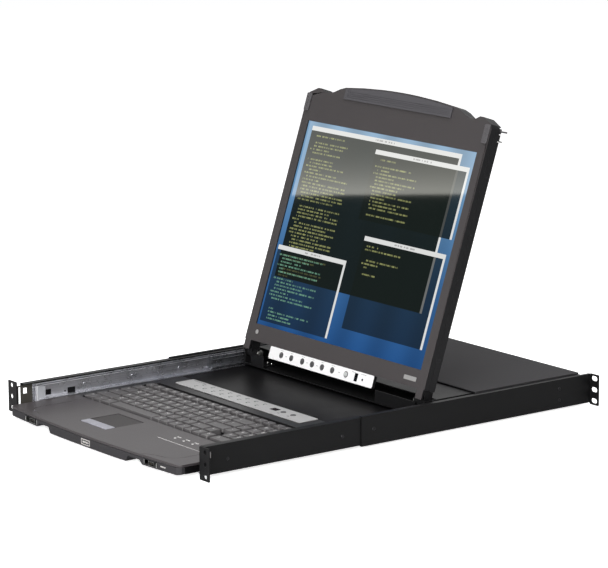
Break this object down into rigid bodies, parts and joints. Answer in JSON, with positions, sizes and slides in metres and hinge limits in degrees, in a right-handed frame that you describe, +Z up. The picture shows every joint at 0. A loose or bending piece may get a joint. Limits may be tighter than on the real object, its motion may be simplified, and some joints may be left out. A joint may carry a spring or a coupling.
{
  "type": "kvm switch console drawer",
  "caption": "Rack-mounted console drawer with a keyboard on telescopic slides, a separately sliding tilting display panel, and a rear switch box with connectors.",
  "frame": {"origin": "under the middle of the object, in the plane of the rack ears' lower edges", "axes": "+X to the right seen from the front, +Y from the front of the rack to the back, +Z up"},
  "size_m": [0.4826, 0.6876, 0.4253],
  "materials": {
    "rail_paint": "satin black powder coat",
    "slide_steel": "zinc-plated steel, blue-grey",
    "ball_steel": "polished balls in a bright cage",
    "cover_paint": "satin dark grey powder coat",
    "board_green": "solder-masked board",
    "zinc_plate": "zinc-plated sheet",
    "port_blue": "blue connector body",
    "inlet_black": "matte black plastic",
    "bezel_grey": "fine-textured dark warm grey",
    "back_cover_black": "satin black paint",
    "screen_glass": null,
    "grip_rubber": "ribbed soft grip",
    "catch_grey": "matte grey",
    "panel_white": "white label sheet",
    "button_dark": "satin dark grey",
    "power_button_pale": "pale translucent cap",
    "palmrest_grey": "fine-textured grey-brown",
    "front_grey": "fine-textured dark grey",
    "key_grey": "matte key caps",
    "touchpad_grey": "smooth satin pad",
    "touchpad_button_grey": "satin pale grey",
    "strip_silver": "silver label sheet"
  },
  "bodies": {
    "rack_frame": {"side_rail_left": "rail_paint", "front_ear_left": "rail_paint", "slide_outer_left": "slide_steel", "side_rail_right": "rail_paint", "front_ear_right": "rail_paint", "slide_outer_right": "slide_steel", "switch_chassis": "rail_paint", "switch_cover": "cover_paint", "main_board": "board_green", "power_supply": "zinc_plate", "computer_port_bank": "port_blue", "console_port_block": "port_blue", "power_inlet": "inlet_black"},
    "rear_bracket_left": {"rear_bracket_left": "rail_paint"},
    "rear_bracket_right": {"rear_bracket_right": "rail_paint"},
    "power_rocker": {"power_rocker": "inlet_black"},
    "upper_middle_slides": {"slide_middle_upper_left": "slide_steel", "slide_middle_upper_right": "slide_steel"},
    "ball_cages": {"ball_cage_left": "ball_steel", "ball_cage_right": "ball_steel"},
    "lower_middle_slides": {"slide_middle_lower_left": "slide_steel", "slide_middle_lower_right": "slide_steel"},
    "lcd_drawer": {"lcd_base": "rail_paint", "lcd_runner_left": "slide_steel", "lcd_runner_right": "slide_steel", "hinge_leaf_left": "rail_paint", "hinge_leaf_right": "rail_paint"},
    "lcd_panel": {"lcd_front_bezel": "bezel_grey", "lcd_back_cover": "back_cover_black", "lcd_display": "screen_glass", "lcd_grip": "grip_rubber", "osd_panel": "panel_white", "hinge_arm_left": "rail_paint", "hinge_arm_right": "rail_paint"},
    "lcd_catch_left": {"lcd_catch_left": "catch_grey"},
    "lcd_catch_right": {"lcd_catch_right": "catch_grey"},
    "osd_button_1": {"osd_button_1": "button_dark"},
    "osd_button_2": {"osd_button_2": "button_dark"},
    "osd_button_3": {"osd_button_3": "button_dark"},
    "osd_button_4": {"osd_button_4": "button_dark"},
    "osd_button_5": {"osd_button_5": "button_dark"},
    "osd_button_6": {"osd_button_6": "button_dark"},
    "lcd_power_button": {"lcd_power_button": "power_button_pale"},
    "keyboard_drawer": {"keyboard_tray": "rail_paint", "keyboard_top": "palmrest_grey", "keyboard_front": "front_grey", "key_bed": "key_grey", "touchpad": "touchpad_grey", "port_panel": "strip_silver", "keyboard_runner_left": "slide_steel", "keyboard_runner_right": "slide_steel"},
    "space_bar": {"space_bar": "key_grey"},
    "left_shift_key": {"left_shift_key": "key_grey"},
    "enter_key": {"enter_key": "key_grey"},
    "backspace_key": {"backspace_key": "key_grey"},
    "touchpad_button_left": {"touchpad_button_left": "touchpad_button_grey"},
    "touchpad_button_right": {"touchpad_button_right": "touchpad_button_grey"},
    "station_button_up": {"station_button_up": "button_dark"},
    "station_button_down": {"station_button_down": "button_dark"}
  },
  "joints": [
    {"name": "rear_bracket_left_slide", "type": "slide", "parent": "rack_frame", "child": "rear_bracket_left", "axis": [0, 1, 0], "range_m": [0, 0.2]},
    {"name": "rear_bracket_right_slide", "type": "slide", "parent": "rack_frame", "child": "rear_bracket_right", "axis": [0, 1, 0], "range_m": [0, 0.2]},
    {"name": "power_rocker_tip", "type": "hinge", "parent": "rack_frame", "child": "power_rocker", "pos_m": [0.143, 0.32715, 0.0235], "axis": [1, 0, 0], "range_deg": [0, 8]},
    {"name": "lcd_slide", "type": "slide", "parent": "rack_frame", "child": "lcd_drawer", "axis": [0, -1, 0], "range_m": [0, 0.4]},
    {"name": "upper_middle_slide", "type": "slide", "parent": "rack_frame", "child": "upper_middle_slides", "axis": [0, -1, 0], "range_m": [0, 0.2]},
    {"name": "ball_cage_slide", "type": "slide", "parent": "rack_frame", "child": "ball_cages", "axis": [0, -1, 0], "range_m": [0, 0.3]},
    {"name": "keyboard_slide", "type": "slide", "parent": "rack_frame", "child": "keyboard_drawer", "axis": [0, -1, 0], "range_m": [0, 0.4]},
    {"name": "lower_middle_slide", "type": "slide", "parent": "rack_frame", "child": "lower_middle_slides", "axis": [0, -1, 0], "range_m": [0, 0.2]},
    {"name": "lcd_tilt", "type": "hinge", "parent": "lcd_drawer", "child": "lcd_panel", "pos_m": [0, 0.06915, 0.0375], "axis": [1, 0, 0], "range_deg": [-11.5, 108.5]},
    {"name": "lcd_catch_left_slide", "type": "slide", "parent": "lcd_panel", "child": "lcd_catch_left", "axis": [1, 0, 0], "range_m": [0, 0.004], "stiffness_N_per_m": 400, "springref_m": -0.002},
    {"name": "lcd_catch_right_slide", "type": "slide", "parent": "lcd_panel", "child": "lcd_catch_right", "axis": [-1, 0, 0], "range_m": [0, 0.004], "stiffness_N_per_m": 400, "springref_m": -0.002},
    {"name": "osd_button_1_press", "type": "slide", "parent": "lcd_panel", "child": "osd_button_1", "axis": [0, 0.9483, -0.3173], "range_m": [0, 0.001], "stiffness_N_per_m": 300, "springref_m": -0.0005},
    {"name": "osd_button_2_press", "type": "slide", "parent": "lcd_panel", "child": "osd_button_2", "axis": [0, 0.9483, -0.3173], "range_m": [0, 0.001], "stiffness_N_per_m": 300, "springref_m": -0.0005},
    {"name": "osd_button_3_press", "type": "slide", "parent": "lcd_panel", "child": "osd_button_3", "axis": [0, 0.9483, -0.3173], "range_m": [0, 0.001], "stiffness_N_per_m": 300, "springref_m": -0.0005},
    {"name": "osd_button_4_press", "type": "slide", "parent": "lcd_panel", "child": "osd_button_4", "axis": [0, 0.9483, -0.3173], "range_m": [0, 0.001], "stiffness_N_per_m": 300, "springref_m": -0.0005},
    {"name": "osd_button_5_press", "type": "slide", "parent": "lcd_panel", "child": "osd_button_5", "axis": [0, 0.9483, -0.3173], "range_m": [0, 0.001], "stiffness_N_per_m": 300, "springref_m": -0.0005},
    {"name": "osd_button_6_press", "type": "slide", "parent": "lcd_panel", "child": "osd_button_6", "axis": [0, 0.9483, -0.3173], "range_m": [0, 0.001], "stiffness_N_per_m": 300, "springref_m": -0.0005},
    {"name": "lcd_power_button_press", "type": "slide", "parent": "lcd_panel", "child": "lcd_power_button", "axis": [0, 0.9483, -0.3173], "range_m": [0, 0.001], "stiffness_N_per_m": 300, "springref_m": -0.0005},
    {"name": "space_bar_press", "type": "slide", "parent": "keyboard_drawer", "child": "space_bar", "axis": [0, 0, -1], "range_m": [0, 0.002], "stiffness_N_per_m": 250, "springref_m": -0.001},
    {"name": "left_shift_key_press", "type": "slide", "parent": "keyboard_drawer", "child": "left_shift_key", "axis": [0, 0, -1], "range_m": [0, 0.002], "stiffness_N_per_m": 250, "springref_m": -0.001},
    {"name": "enter_key_press", "type": "slide", "parent": "keyboard_drawer", "child": "enter_key", "axis": [0, 0, -1], "range_m": [0, 0.002], "stiffness_N_per_m": 250, "springref_m": -0.001},
    {"name": "backspace_key_press", "type": "slide", "parent": "keyboard_drawer", "child": "backspace_key", "axis": [0, 0, -1], "range_m": [0, 0.002], "stiffness_N_per_m": 250, "springref_m": -0.001},
    {"name": "touchpad_button_left_press", "type": "slide", "parent": "keyboard_drawer", "child": "touchpad_button_left", "axis": [0, 0, -1], "range_m": [0, 0.0005], "stiffness_N_per_m": 300, "springref_m": -0.00025},
    {"name": "touchpad_button_right_press", "type": "slide", "parent": "keyboard_drawer", "child": "touchpad_button_right", "axis": [0, 0, -1], "range_m": [0, 0.0005], "stiffness_N_per_m": 300, "springref_m": -0.00025},
    {"name": "station_button_up_press", "type": "slide", "parent": "keyboard_drawer", "child": "station_button_up", "axis": [0, 0, -1], "range_m": [0, 0.001], "stiffness_N_per_m": 300, "springref_m": -0.0005},
    {"name": "station_button_down_press", "type": "slide", "parent": "keyboard_drawer", "child": "station_button_down", "axis": [0, 0, -1], "range_m": [0, 0.001], "stiffness_N_per_m": 300, "springref_m": -0.0005}
  ],
  "couplings": [
    {"joint": "upper_middle_slide", "follows": "lcd_slide", "ratio": 0.5},
    {"joint": "ball_cage_slide", "follows": "lcd_slide", "ratio": 0.75},
    {"joint": "lower_middle_slide", "follows": "keyboard_slide", "ratio": 0.5}
  ]
}
